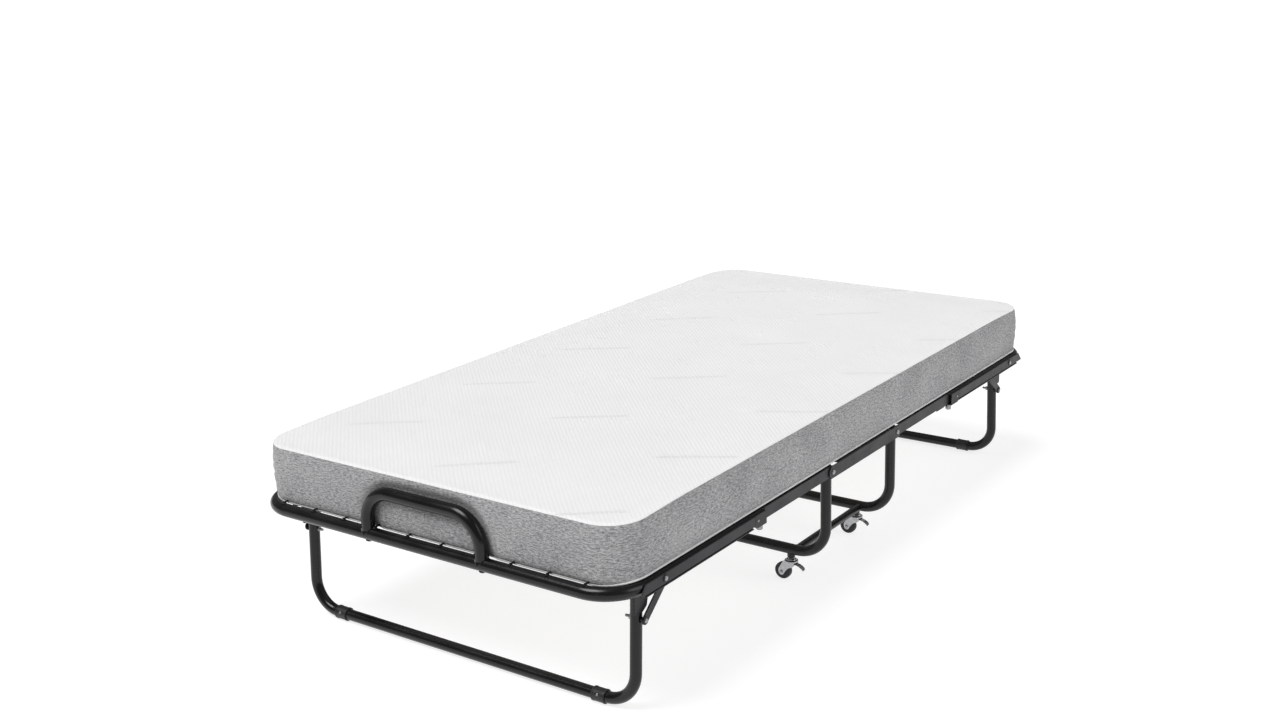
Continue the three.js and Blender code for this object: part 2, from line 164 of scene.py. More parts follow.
class Nodes:
    """A new material and short ways to add nodes to it."""

    def __init__(self, name):
        self.material = bpy.data.materials.new(name)
        self.material.use_nodes = True
        self.tree = self.material.node_tree
        self.shader = self.tree.nodes["Principled BSDF"]

    def node(self, kind, inputs=None, **settings):
        made = self.tree.nodes.new(kind)
        for key, value in settings.items():
            setattr(made, key, value)
        for key, value in (inputs or {}).items():
            self.feed(made, key, value)
        return made

    def feed(self, node, key, value):
        if isinstance(value, bpy.types.NodeSocket):
            self.tree.links.new(value, node.inputs[key])
        else:
            node.inputs[key].default_value = value

    def math(self, operation, a, b=0.0, c=0.0):
        made = self.node("ShaderNodeMath", operation=operation)
        for i, value in enumerate((a, b, c)):
            self.feed(made, i, value)
        return made.outputs[0]

    def place(self, source, scale=(1, 1, 1), turn=0.0):
        """Texture coordinates in metres, scaled and turned in the plane."""
        coordinates = self.node("ShaderNodeTexCoord").outputs[source]
        mapping = self.node("ShaderNodeMapping", {"Vector": coordinates, "Scale": scale})
        mapping.inputs["Rotation"].default_value = (0, 0, turn)
        return mapping.outputs["Vector"]

    def noise(self, where, scale, detail=2.0, roughness=0.5):
        made = self.node("ShaderNodeTexNoise", {"Vector": where, "Scale": scale})
        made.inputs["Detail"].default_value = detail
        made.inputs["Roughness"].default_value = roughness
        return made.outputs["Fac"]

    def ramp(self, value, stops):
        """A colour ramp; each stop is a place and a grey or a colour."""
        made = self.node("ShaderNodeValToRGB", {"Fac": value})
        line = made.color_ramp
        while len(line.elements) < len(stops):
            line.elements.new(0.5)
        for element, (place, colour) in zip(line.elements, stops):
            element.position = place
            shade = colour if isinstance(colour, tuple) else (colour,) * 3
            element.color = (*shade, 1)
        return made.outputs["Color"]

    def mixed(self, share, a, b, blend="MIX"):
        made = self.node("ShaderNodeMix", data_type="RGBA", blend_type=blend)
        self.feed(made, 0, share)
        self.feed(made, 6, (*a, 1) if isinstance(a, tuple) else a)
        self.feed(made, 7, (*b, 1) if isinstance(b, tuple) else b)
        return made.outputs[2]

    def range(self, value, low_in, high_in, low_out, high_out):
        made = self.node("ShaderNodeMapRange", {"Value": value})
        for key, number in zip(("From Min", "From Max", "To Min", "To Max"),
                               (low_in, high_in, low_out, high_out)):
            made.inputs[key].default_value = number
        return made.outputs["Result"]

    def bump(self, height, distance, strength=1.0, below=None):
        made = self.node("ShaderNodeBump", {"Height": height, "Distance": distance})
        made.inputs["Strength"].default_value = strength
        if below is not None:
            self.feed(made, "Normal", below)
        return made.outputs["Normal"]

    def surface(self, **inputs):
        for key, value in inputs.items():
            name = key.replace("_", " ")
            if isinstance(value, tuple):
                value = (*value, 1)
            self.feed(self.shader, name, value)
        return self.material


def gloss_paint():
    """Baked-on gloss black: slight orange peel, fine dust and a few pale rubs."""
    n = Nodes("gloss_black_paint")
    here = n.place("Object")
    peel = n.noise(here, 420, 2)
    cloud = n.noise(here, 14, 4)
    rubs = n.noise(n.place("Object", (30, 30, 160)), 1.0, 6, 0.7)
    rub_share = n.range(rubs, 0.62, 0.78, 0, 1)
    base = n.ramp(cloud, [(0.3, (0.0030, 0.0030, 0.0036)), (0.75, (0.0052, 0.0050, 0.0060))])
    colour = n.mixed(rub_share, base, (0.020, 0.020, 0.022))
    gloss = n.math("ADD", n.range(cloud, 0.3, 0.7, 0.20, 0.32), n.math("MULTIPLY", rub_share, 0.25))
    return n.surface(
        Base_Color=colour,
        Roughness=gloss,
        Specular_IOR_Level=0.32,
        Coat_Weight=0.1,
        Coat_Roughness=0.12,
        Normal=n.bump(peel, 0.00012, 0.5),
    )


def sheet_paint():
    """The same paint on pressed sheet: flatter, a little violet and less glossy."""
    n = Nodes("satin_black_sheet")
    here = n.place("Object")
    peel = n.noise(here, 650, 3)
    cloud = n.noise(here, 22, 4)
    base = n.ramp(cloud, [(0.3, (0.0095, 0.009, 0.0115)), (0.75, (0.015, 0.014, 0.018))])
    return n.surface(
        Base_Color=base,
        Roughness=n.range(cloud, 0.3, 0.7, 0.34, 0.5),
        Specular_IOR_Level=0.3,
        Normal=n.bump(peel, 0.00015, 0.5),
    )


def chrome():
    """Bright plating over pressed steel, with soft press waves and hazy patches."""
    n = Nodes("bright_chrome")
    here = n.place("Object")
    waves = n.noise(here, 55, 2)
    haze = n.noise(here, 190, 5, 0.65)
    colour = n.ramp(haze, [(0.3, (0.34, 0.345, 0.36)), (0.7, (0.50, 0.505, 0.52))])
    return n.surface(
        Base_Color=colour,
        Metallic=1.0,
        Roughness=n.range(haze, 0.35, 0.75, 0.10, 0.30),
        Normal=n.bump(waves, 0.0006, 0.35),
    )


def zinc():
    """Bolt heads and nuts: passivated zinc, turned marks and dull spots."""
    n = Nodes("zinc_fastener")
    here = n.place("Object")
    marks = n.noise(n.place("Object", (300, 300, 1800)), 1.0, 3)
    spots = n.noise(here, 420, 4, 0.7)
    colour = n.ramp(spots, [(0.35, (0.22, 0.22, 0.225)), (0.7, (0.42, 0.42, 0.415))])
    return n.surface(
        Base_Color=colour,
        Metallic=1.0,
        Roughness=n.range(spots, 0.3, 0.7, 0.22, 0.42),
        Normal=n.bump(marks, 0.0002, 0.3),
    )


def moulded_plastic():
    """Black moulded plastic with a fine spark-eroded grain."""
    n = Nodes("black_plastic")
    here = n.place("Object")
    grain = n.node("ShaderNodeTexVoronoi", {"Vector": here, "Scale": 1400}).outputs["Distance"]
    cloud = n.noise(here, 60, 4)
    colour = n.ramp(cloud, [(0.3, (0.010, 0.010, 0.011)), (0.7, (0.018, 0.018, 0.019))])
    return n.surface(
        Base_Color=colour,
        Roughness=n.range(cloud, 0.3, 0.7, 0.38, 0.55),
        Normal=n.bump(grain, 0.0001, 0.5),
    )


def tyre_rubber():
    """Hard black rubber, scuffed a little on the tread."""
    n = Nodes("caster_rubber")
    here = n.place("Object")
    pores = n.noise(here, 900, 4, 0.6)
    scuffs = n.noise(n.place("Object", (600, 90, 90)), 1.0, 5, 0.7)
    share = n.range(scuffs, 0.55, 0.8, 0, 0.8)
    colour = n.mixed(share, (0.013, 0.013, 0.014), (0.045, 0.044, 0.043))
    return n.surface(
        Base_Color=colour,
        Roughness=n.range(scuffs, 0.3, 0.75, 0.42, 0.72),
        Normal=n.bump(pores, 0.00015, 0.6),
    )


RIB_PITCH = 8.2 * MM
STITCH_CELL = (0.44, 0.27)  # along and across the wavy stitch lines
STITCH_TURN = math.radians(54.7)
STITCH_HALF_LENGTH = 0.095
STITCH_WAVE = 26 * MM
STITCH_SWING = 4 * MM


def stitch_lines(n):
    """1 on the scattered double wavy lines embossed in the knit, 0 between them."""
    where = n.place("UV", turn=STITCH_TURN)
    split = n.node("ShaderNodeSeparateXYZ", {"Vector": where})
    row = n.math("FLOOR", n.math("DIVIDE", split.outputs["Y"], STITCH_CELL[1]))
    shift = n.math("MULTIPLY", n.math("PINGPONG", row, 1.0), STITCH_CELL[0] / 2)
    along = n.math("ADD", split.outputs["X"], shift)
    local = []
    for value, size in zip((along, split.outputs["Y"]), STITCH_CELL):
        share = n.math("FRACT", n.math("DIVIDE", value, size))
        local.append(n.math("MULTIPLY", n.math("SUBTRACT", share, 0.5), size))
    wave = n.math("SINE", n.math("MULTIPLY", local[0], 2 * math.pi / STITCH_WAVE))
    swing = n.math("MULTIPLY", wave, STITCH_SWING)
    gap = n.math("MINIMUM",
                 n.math("ABSOLUTE", n.math("SUBTRACT", local[1], swing)),
                 n.math("ABSOLUTE", n.math("ADD", local[1], swing)))
    line = n.range(gap, 0.8 * MM, 2.6 * MM, 1, 0)
    reach = n.range(n.math("ABSOLUTE", local[0]), STITCH_HALF_LENGTH - 0.02, STITCH_HALF_LENGTH, 1, 0)
    return n.math("MULTIPLY", line, reach)


def knit_top():
    """White double-knit cover: fine diagonal ribs with painted shade in their grooves, loops and scattered
    embossed waves darkened with painted shade.
    """
    n = Nodes("white_knit")
    flat = n.place("UV")
    diagonal = n.place("UV", turn=math.radians(-45))
    split = n.node("ShaderNodeSeparateXYZ", {"Vector": diagonal})
    wander = n.math("MULTIPLY", n.noise(flat, 55, 2), 0.5)
    phase = n.math("ADD", n.math("DIVIDE", split.outputs["Y"], RIB_PITCH), wander)
    rib = n.math("SINE", n.math("MULTIPLY", phase, 2 * math.pi))
    loops = n.noise(n.place("UV", (620, 260, 1), math.radians(-45)), 1.0, 3, 0.6)
    patches = n.noise(flat, 5, 4)
    stitches = stitch_lines(n)
    height = n.math("ADD", n.math("MULTIPLY", rib, 0.35), n.math("MULTIPLY", loops, 0.6))
    height = n.math("SUBTRACT", height, n.math("MULTIPLY", stitches, 1.6))
    # Painted shade: the valleys of the ribs are darkened in the colour.
    painted_groove_shade = n.range(rib, -1, 0.2, 0.16, 0)
    base = n.ramp(patches, [(0.3, (0.86, 0.865, 0.865)), (0.7, (0.895, 0.895, 0.89))])
    ribs_with_painted_shade = n.mixed(painted_groove_shade, base, (0.60, 0.60, 0.595))
    # Painted shade: the embossed wavy lines are darkened in the colour.
    colour = n.mixed(n.math("MULTIPLY", stitches, 0.22), ribs_with_painted_shade, (0.60, 0.60, 0.60))
    return n.surface(
        Base_Color=colour,
        Roughness=n.range(loops, 0.3, 0.7, 0.8, 0.95),
        Sheen_Weight=0.25,
        Sheen_Roughness=0.5,
        Normal=n.bump(height, 0.0007, 0.8),
    )


def melange_side():
    """Grey melange border: crossed light and dark yarns in short level streaks."""
    n = Nodes("grey_melange")
    streaks = n.noise(n.place("UV", (120, 420, 1)), 1.0, 4, 0.7)
    yarns = n.noise(n.place("UV", (520, 900, 1)), 1.0, 3, 0.65)
    slubs = n.noise(n.place("UV", (34, 380, 1)), 1.0, 4, 0.75)
    patches = n.noise(n.place("UV"), 9, 4)
    speckle = n.math("ADD", n.math("MULTIPLY", streaks, 0.6), n.math("MULTIPLY", yarns, 0.4))
    dark = n.ramp(patches, [(0.3, (0.10, 0.10, 0.108)), (0.7, (0.14, 0.14, 0.148))])
    light = n.ramp(patches, [(0.3, (0.50, 0.50, 0.505)), (0.7, (0.62, 0.62, 0.62))])
    colour = n.mixed(n.range(speckle, 0.40, 0.60, 0, 1), dark, light)
    colour = n.mixed(n.range(slubs, 0.54, 0.66, 0, 0.7), colour, (0.085, 0.085, 0.095))
    height = n.math("ADD", n.math("MULTIPLY", yarns, 0.5), n.math("MULTIPLY", slubs, 0.7))
    return n.surface(
        Base_Color=colour,
        Roughness=n.range(speckle, 0.3, 0.7, 0.85, 0.97),
        Sheen_Weight=0.2,
        Sheen_Roughness=0.4,
        Normal=n.bump(height, 0.0005, 0.7),
    )


def plain_underside():
    """Off-white woven backing of the mattress, with painted shade in the low cells of the weave."""
    n = Nodes("off_white_backing")
    weave = []
    for turn in (0, math.pi / 2):
        split = n.node("ShaderNodeSeparateXYZ", {"Vector": n.place("UV", turn=turn)})
        wave = n.math("SINE", n.math("MULTIPLY", split.outputs["X"], 2 * math.pi / (2.2 * MM)))
        weave.append(wave)
    cells = n.math("MULTIPLY", *weave)
    patches = n.noise(n.place("UV"), 12, 5)
    base = n.ramp(patches, [(0.3, (0.56, 0.545, 0.51)), (0.7, (0.66, 0.645, 0.61))])
    # Painted shade: the low cells of the weave are darkened in the colour.
    colour = n.mixed(n.range(cells, -1, 1, 0.25, 0), base, (0.42, 0.41, 0.38))
    return n.surface(
        Base_Color=colour,
        Roughness=n.range(patches, 0.3, 0.7, 0.85, 0.95),
        Sheen_Weight=0.1,
        Normal=n.bump(cells, 0.0002, 0.6),
    )


def white_piping():
    """White corded edge, wound at a slant, with painted shade in the low streaks of the winding."""
    n = Nodes("white_piping")
    twist = n.noise(n.place("UV", (900, 260, 1), math.radians(35)), 1.0, 3)
    # Painted shade: the colour is darker where the winding is low.
    colour = n.ramp(twist, [(0.3, (0.66, 0.66, 0.66)), (0.7, (0.86, 0.86, 0.86))])
    return n.surface(
        Base_Color=colour,
        Roughness=n.range(twist, 0.3, 0.7, 0.75, 0.9),
        Sheen_Weight=0.2,
        Normal=n.bump(twist, 0.0003, 0.7),
    )


PAINT = gloss_paint()
SHEET_PAINT = sheet_paint()
CHROME = chrome()
ZINC = zinc()
PLASTIC = moulded_plastic()
RUBBER = tyre_rubber()
KNIT = knit_top()
MELANGE = melange_side()
BACKING = plain_underside()
PIPING = white_piping()


# --- geometry ---

class Piece:
    """The points and faces of one piece. Every shape added takes the current material."""

    def __init__(self, name, material):
        self.name = name
        self.points = []
        self.faces = []
        self.uvs = []
        self.materials = []
        self.face_materials = []
        self.use(material)

    def use(self, material):
        if material not in self.materials:
            self.materials.append(material)
        self.current = self.materials.index(material)

    def face(self, corners, uv=None):
        self.faces.append(corners)
        self.uvs.append(uv or [(0, 0)] * len(corners))
        self.face_materials.append(self.current)

    def loft(self, rings, closed=True, caps=True):
        """Joins rings of points in turn; a ring of one point is a pole."""
        starts = []
        for ring in rings:
            starts.append(len(self.points))
            self.points.extend(ring)
        for near, far, a, b in zip(rings, rings[1:], starts, starts[1:]):
            count = max(len(near), len(far))
            for i in range(count if closed else count - 1):
                j = (i + 1) % count
                corners = [a + i % len(near), a + j % len(near), b + j % len(far), b + i % len(far)]
                self.face(list(dict.fromkeys(corners)))
        if caps and len(rings[0]) > 2:
            self.face(list(range(starts[0], starts[0] + len(rings[0])))[::-1])
        if caps and len(rings[-1]) > 2:
            self.face(list(range(starts[-1], starts[-1] + len(rings[-1]))))

    def tube(self, corners, radius, bend=0.0, sides=24, rounded_ends=0.0):
        rings = []
        stations = path_stations(corners, bend)
        side = path_side(stations)
        first, last = stations[0], stations[-1]
        if rounded_ends:
            rings += [circle(*p, side, r, sides) for p, r in end_cap(first, radius, rounded_ends, -1)]
        rings += [circle(*station, side, radius, sides) for station in stations]
        if rounded_ends:
            back = end_cap(last, radius, rounded_ends, 1)
            rings += [circle(*p, side, r, sides) for p, r in back[::-1]]
        self.loft(rings)

    def lathe(self, profile, origin, axis, sides=24):
        """Turns (radius, height) pairs about an axis from an origin."""
        axis = Vector(axis).normalized()
        across = axis.orthogonal().normalized()
        rings = []
        for radius, height in profile:
            centre = Vector(origin) + axis * height
            ring = [centre] if radius < 1e-7 else circle(centre, axis, across, radius, sides)
            rings.append(ring)
        self.loft(rings)

    def plate(self, outline, thickness, place, bevel=0.4 * MM):
        """A flat plate: the outline's points in the place's x-y plane, rising along its z."""
        inner = inset(outline, bevel)
        levels = [(inner, 0), (outline, bevel), (outline, thickness - bevel), (inner, thickness)]
        self.loft([[place @ Vector((x, y, z)) for x, y in ring] for ring, z in levels])

    def bead(self, points, radius, sides=8):
        """A closed weld bead along a loop of points."""
        count = len(points)
        middle = sum(points, Vector()) / count
        rings = []
        for i, point in enumerate(points):
            heading = (points[(i + 1) % count] - points[i - 1]).normalized()
            outward = (point - middle).normalized()
            lump = 1 + 0.18 * math.sin(i * 2.4)
            rings.append(circle(point, heading, heading.cross(outward), radius * lump, sides))
        self.loft(rings + [rings[0]], caps=False)

    def done(self, smooth_angle=38):
        """The finished object, with no body yet."""
        mesh = bpy.data.meshes.new(self.name)
        mesh.from_pydata(self.points, [], self.faces)
        layer = mesh.uv_layers.new(name="metres")
        flat = [pair for face in self.uvs for pair in face]
        layer.data.foreach_set("uv", [number for pair in flat for number in pair])
        for material in self.materials:
            mesh.materials.append(material)
        mesh.polygons.foreach_set("material_index", self.face_materials)
        mesh.validate()
        made = bpy.data.objects.new(self.name, mesh)
        bpy.context.scene.collection.objects.link(made)
        face_outward(mesh)
        mesh.shade_smooth()
        mesh.set_sharp_from_angle(angle=math.radians(smooth_angle))
        return made

    def on(self, body, *replaced):
        """Finishes the piece, lets it ride on a body and stand for CAD nodes."""
        made = self.done()
        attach(made, body)
        if replaced:
            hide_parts(*replaced)
        return made


def face_outward(mesh):
    """Turns the faces of each closed shell to the outside."""
    work = bmesh.new()
    work.from_mesh(mesh)
    bmesh.ops.remove_doubles(work, verts=work.verts, dist=1e-6)
    bmesh.ops.recalc_face_normals(work, faces=work.faces)
    work.to_mesh(mesh)
    work.free()


def path_stations(corners, bend, step=math.radians(6)):
    """Points and headings along straight runs joined by round bends."""
    corners = [Vector(corner) for corner in corners]
    headings = [(b - a).normalized() for a, b in zip(corners, corners[1:])]
    found = [(corners[0], headings[0])]
    for corner, before, after in zip(corners[1:-1], headings, headings[1:]):
        turn = before.angle(after)
        inward = (after - before * before.dot(after)).normalized()
        start = corner - before * bend * math.tan(turn / 2)
        count = max(2, round(turn / step))
        for i in range(count + 1):
            angle = turn * i / count
            point = start + before * bend * math.sin(angle) + inward * bend * (1 - math.cos(angle))
            found.append((point, before * math.cos(angle) + inward * math.sin(angle)))
    found.append((corners[-1], headings[-1]))
    return found


def path_side(stations):
    """A direction square to a flat path, to keep its rings from twisting."""
    first = stations[0][1]
    for _, heading in stations:
        if heading.angle(first) > 0.1:
            return first.cross(heading).normalized()
    return first.orthogonal().normalized()


def circle(centre, heading, side, radius, sides):
    up = side.cross(heading).normalized()
    turns = [2 * math.pi * i / sides for i in range(sides)]
    return [centre + (side * math.cos(turn) + up * math.sin(turn)) * radius for turn in turns]


def end_cap(station, radius, depth, way):
    """Stations and radii of a rounded tube end, from its tip."""
    point, heading = station
    found = []
    for share in (0.0, 0.3, 0.6, 0.85):
        inward = math.sqrt(1 - (1 - share) ** 2)
        centre = point + heading * way * depth * (1 - share)
        found.append(((centre, heading), radius - depth + depth * inward))
    return found


def inset(outline, distance):
    """The outline moved inward by a distance, corner by corner."""
    count = len(outline)
    area = sum(outline[i - 1][0] * outline[i][1] - outline[i][0] * outline[i - 1][1] for i in range(count))
    way = 1 if area > 0 else -1
    moved = []
    for i, (x, y) in enumerate(outline):
        before = Vector(outline[i]) - Vector(outline[i - 1])
        after = Vector(outline[(i + 1) % count]) - Vector(outline[i])
        normals = [Vector((-v.y, v.x)).normalized() * way for v in (before, after)]
        middle = (normals[0] + normals[1]).normalized()
        reach = distance / max(0.5, middle.dot(normals[0]))
        moved.append((x + middle.x * reach, y + middle.y * reach))
    return moved


def rounded(corners, radius, steps=5):
    """An outline with its corners rounded."""
    count = len(corners)
    found = []
    for i, corner in enumerate(corners):
        here = Vector(corner)
        back = Vector(corners[i - 1]) - here
        ahead = Vector(corners[(i + 1) % count]) - here
        reach = min(radius, back.length * 0.45, ahead.length * 0.45)
        start = here + back.normalized() * reach
        stop = here + ahead.normalized() * reach
        for step in range(steps + 1):
            t = step / steps
            point = start * (1 - t) ** 2 + here * 2 * t * (1 - t) + stop * t ** 2
            found.append((point.x, point.y))
    return found


def standing(y, side):
    """A place whose x-y plane is the X-Z plane at that y, rising outward to that side."""
    return Matrix(((1, 0, 0, 0), (0, 0, side, y), (0, 1, 0, 0), (0, 0, 0, 1)))


def saddle(centre, small_axis, small_radius, big_axis, big_radius, steps=28):
    """The loop where a small tube runs square into a big one, whose middle is at the centre."""
    small_axis, big_axis = Vector(small_axis), Vector(big_axis)
    across = small_axis.cross(big_axis)
    points = []
    for i in range(steps):
        turn = 2 * math.pi * i / steps
        sideways = small_radius * math.cos(turn)
        reach = math.sqrt(max(0.0, big_radius ** 2 - sideways ** 2))
        point = across * sideways + big_axis * small_radius * math.sin(turn) + small_axis * reach
        points.append(Vector(centre) + point)
    return points


# --- fasteners ---

def dome_bolt(piece, at, axis, radius=6 * MM, washer=0.0):
    """A domed head, over a dark washer if it has one."""
    axis = Vector(axis)
    base = Vector(at)
    if washer:
        piece.use(SHEET_PAINT)
        rim = 1.2 * MM
        piece.lathe([(0, 0), (washer, 0), (washer, rim * 0.7), (washer - 0.4 * MM, rim), (0, rim)],
                    base, axis)
        base = base + axis * rim
    piece.use(ZINC)
    height = radius * 0.55
    profile = [(0, 0), (radius, 0), (radius, height * 0.2)]
    for i in range(1, 7):
        turn = math.pi / 2 * i / 6
        profile.append((radius * math.cos(turn) if i < 6 else 0, height * (0.2 + 0.8 * math.sin(turn))))
    piece.lathe(profile, base, axis)


def nut(piece, at, axis, across=10 * MM, height=5 * MM, bolt_out=4 * MM):
    """A hexagon nut with turned corners and the threaded end of its bolt."""
    piece.use(ZINC)
    corner = across / math.sqrt(3)
    slope = 0.8 * MM
    piece.lathe([(0, 0), (corner - slope, 0), (corner, slope), (corner, height - slope),
                 (corner - slope, height), (0, height)], at, axis, sides=6)
    thread = [(0, 0)]
    radius = across * 0.3
    turns = 6
    for i in range(turns):
        low_end = height + bolt_out * i / turns
        thread += [(radius, low_end), (radius - 0.35 * MM, low_end + bolt_out / turns * 0.5)]
    thread += [(radius - 0.6 * MM, height + bolt_out), (0, height + bolt_out)]
    piece.lathe(thread, at, axis, sides=16)


# --- the frame's tubes, decks and legs ---

def end_tube(end):
    way = ENDS[end]
    stop, far = way * TUBE_STOP_X, way * END_X
    piece = Piece(f"{end}_end_tube_bent", PAINT)
    plan = [(stop, -SIDE_Y), (far, -SIDE_Y), (far, SIDE_Y), (stop, SIDE_Y)]
    piece.tube([(x, y, TUBE_Z) for x, y in plan], TUBE_R, TUBE_BEND, 32)
    strip = rounded([(way * x, z) for x, z in STRIP_OUTLINE], 1.5 * MM)
    piece.use(SHEET_PAINT)
    for side in SIDES.values():
        piece.plate(strip, STRIP + 0.4 * MM, standing(side * (STRIP_Y - STRIP - 0.4 * MM), side), 0.5 * MM)
    piece.use(PAINT)
    weld = [(r * MM, z * MM) for r, z in ((0, 3.6), (2.4, 3.2), (4.2, 1.8), (5.2, -0.4), (0, -1))]
    for y in wire_places():
        piece.lathe(weld, (far, y, TUBE_TOP), (0, 0, 1), 14)
    piece.on(f"{end}_half", f"{end}_end_tube")


def handle(end):
    far = ENDS[end] * END_X
    bottom = TUBE_Z + TUBE_R * 0.6
    piece = Piece(f"{end}_handle_loop", PAINT)
    piece.tube([(far, -HANDLE_Y, bottom), (far, -HANDLE_Y, HANDLE_Z), (far, HANDLE_Y, HANDLE_Z),
                (far, HANDLE_Y, bottom)], HANDLE_R, HANDLE_BEND, 32)
    for side in SIDES.values():
        loop = saddle((far, side * HANDLE_Y, TUBE_Z), (0, 0, 1), HANDLE_R, (0, 1, 0), TUBE_R)
        piece.use(PAINT)
        piece.bead(loop, 1.2 * MM)
        dome_bolt(piece, (far, side * HANDLE_Y, TUBE_Z - TUBE_R), (0, 0, -1), 5.5 * MM, 7.5 * MM)
    piece.on(f"{end}_half", f"{end}_handle")


def wire_places():
    first = -WIRE_PITCH * (WIRE_COUNT - 1) / 2
    return [first + WIRE_PITCH * i for i in range(WIRE_COUNT)]


def deck(end, part, start, stop, bars, cross_wires):
    """Wires welded over flat crossbars and thin cross wires."""
    way = ENDS[end]
    piece = Piece(f"{end}_{part}_deck_wires", PAINT)
    bar_top = WIRE_Z - WIRE_R + 0.4 * MM
    lying = Matrix(((1, 0, 0, 0), (0, 0, 1, 0), (0, 1, 0, 0), (0, 0, 0, 1)))
    for x in bars:
        half = BAR_WIDTH / 2
        outline = rounded([(-half, -BAR_HEIGHT), (half, -BAR_HEIGHT), (half, 0), (-half, 0)], 1.2 * MM)
        middle = Matrix.Translation((way * x, -DECK_Y, bar_top))
        piece.plate(outline, 2 * DECK_Y, middle @ lying)
    for x in cross_wires:
        ends = [(way * x, -DECK_Y, CROSS_WIRE_Z), (way * x, DECK_Y, CROSS_WIRE_Z)]
        piece.tube(ends, WIRE_R, sides=12, rounded_ends=1.2 * MM)
    for y in wire_places():
        ends = [(way * start, y, WIRE_Z), (way * stop, y, WIRE_Z)]
        piece.tube(ends, WIRE_R, sides=12, rounded_ends=1.2 * MM)
    piece.on(f"{end}_half", f"{end}_{part}_deck")


def leg_frame(end):
    top, foot = ENDS[end] * LEG_TOP_X, ENDS[end] * LEG_FOOT_X
    piece = Piece(f"{end}_leg_loop", PAINT)
    corners = [(top, -LEG_Y, LEG_TOP), (foot, -LEG_Y, SLEEVE_R),
               (foot, LEG_Y, SLEEVE_R), (top, LEG_Y, LEG_TOP)]
    piece.tube(corners, LEG_R, LEG_BEND, 28, 1.5 * MM)
    for side in SIDES.values():
        leg_plate(piece, ENDS[end], side)
    piece.on(f"{end}_leg", f"{end}_leg_frame")


def leg_plate(piece, way, side):
    """The plate at the top of one leg, its lower pivot's boss, and the nut inside it."""
    half = 22 * MM
    middle = LEG_PLATE_X
    corners = [(middle + half, LEG_TOP), (middle + half, 208 * MM), (middle - 3 * MM, 206 * MM),
               (middle - 18 * MM, 215 * MM), (middle - half, 232 * MM), (middle - half, LEG_TOP)]
    outline = rounded([(way * x, z) for x, z in corners], 4 * MM)
    piece.use(SHEET_PAINT)
    piece.plate(outline, LEG_PLATE, standing(side * (LEG_PLATE_Y - LEG_PLATE), side), 0.7 * MM)
    piece.use(PAINT)
    x, z = LEG_LOWER
    boss_reach = BRACE_Y - 3.3 * MM - LEG_Y
    boss = [(0, 0), (5 * MM, 0), (5 * MM, boss_reach - 0.6 * MM), (4.4 * MM, boss_reach), (0, boss_reach)]
    piece.lathe(boss, (way * x, side * LEG_Y, z), (0, side, 0))
    inner = side * (LEG_Y - LEG_R + 1.2 * MM)
    nut(piece, (way * x, inner, z), (0, -side, 0), 10 * MM, 5.5 * MM, 9 * MM)


def foot_sleeve(end, side):
    """A moulded sleeve round the leg's ground bar, pinned by a small screw."""
    x = ENDS[end] * LEG_FOOT_X
    y = SIDES[side] * SLEEVE_Y
    half = 16 * MM
    wall = SLEEVE_R
    piece = Piece(f"{end}_{side}_sleeve_moulded", PLASTIC)
    profile = [(LEG_R + 0.3 * MM, -half), (wall - 1.4 * MM, -half), (wall - 0.2 * MM, -half + 1.2 * MM),
               (wall, -half + 3 * MM), (wall, -half + 4 * MM), (wall - 0.7 * MM, -half + 4.6 * MM),
               (wall - 0.7 * MM, half - 4.6 * MM), (wall, half - 4 * MM), (wall, half - 3 * MM),
               (wall - 0.2 * MM, half - 1.2 * MM), (wall - 1.4 * MM, half), (LEG_R + 0.3 * MM, half)]
    piece.lathe(profile, (x, y, SLEEVE_R), (0, 1, 0), 36)
    outward = Vector((ENDS[end], 0, 0.45)).normalized()
    dome_bolt(piece, Vector((x, y, SLEEVE_R)) + outward * (wall - 1 * MM), outward, 2.8 * MM)
    piece.on(f"{end}_leg", f"{end}_{side}_foot_sleeve")


# --- the castered base ---

def u_frame(end):
    x = ENDS[end] * HINGE_X
    piece = Piece(f"{end}_u_frame_bent", PAINT)
    piece.tube([(x, -BASE_Y, BASE_TOP), (x, -BASE_Y, BASE_Z), (x, BASE_Y, BASE_Z), (x, BASE_Y, BASE_TOP)],
               BASE_R, BASE_BEND, 32, 1.5 * MM)
    socket_bottom = low(f"{end}_u_frame").z
    for side in SIDES.values():
        rise = BASE_Z - socket_bottom
        socket = [(5.4 * MM, 0), (8.2 * MM, 0), (9 * MM, 0.9 * MM), (9 * MM, rise - 6 * MM), (9.6 * MM, rise)]
        piece.lathe(socket, (x, side * CASTER_Y, socket_bottom), (0, 0, 1), 28)
        pin_reach = LINK_RAIL_Y - 2.8 * MM - BASE_Y
        piece.lathe([(0, 0), (6 * MM, 0), (6 * MM, pin_reach), (0, pin_reach)],
                    (x, side * BASE_Y, HINGE_Z), (0, side, 0))
        loop = saddle((x, side * BASE_BAR_Y, BASE_Z), (-ENDS[end], 0, 0), BASE_BAR_R, (0, 1, 0), BASE_R)
        piece.bead(loop, 1.3 * MM)
    piece.on("base", f"{end}_u_frame")


def base_bar(side):
    reach = HINGE_X - BASE_R * 0.6
    y = SIDES[side] * BASE_BAR_Y
    piece = Piece(f"{side}_base_bar_round", PAINT)
    piece.tube([(-reach, y, BASE_Z), (reach, y, BASE_Z)], BASE_BAR_R, sides=28)
    piece.on("base", f"{side}_base_bar")


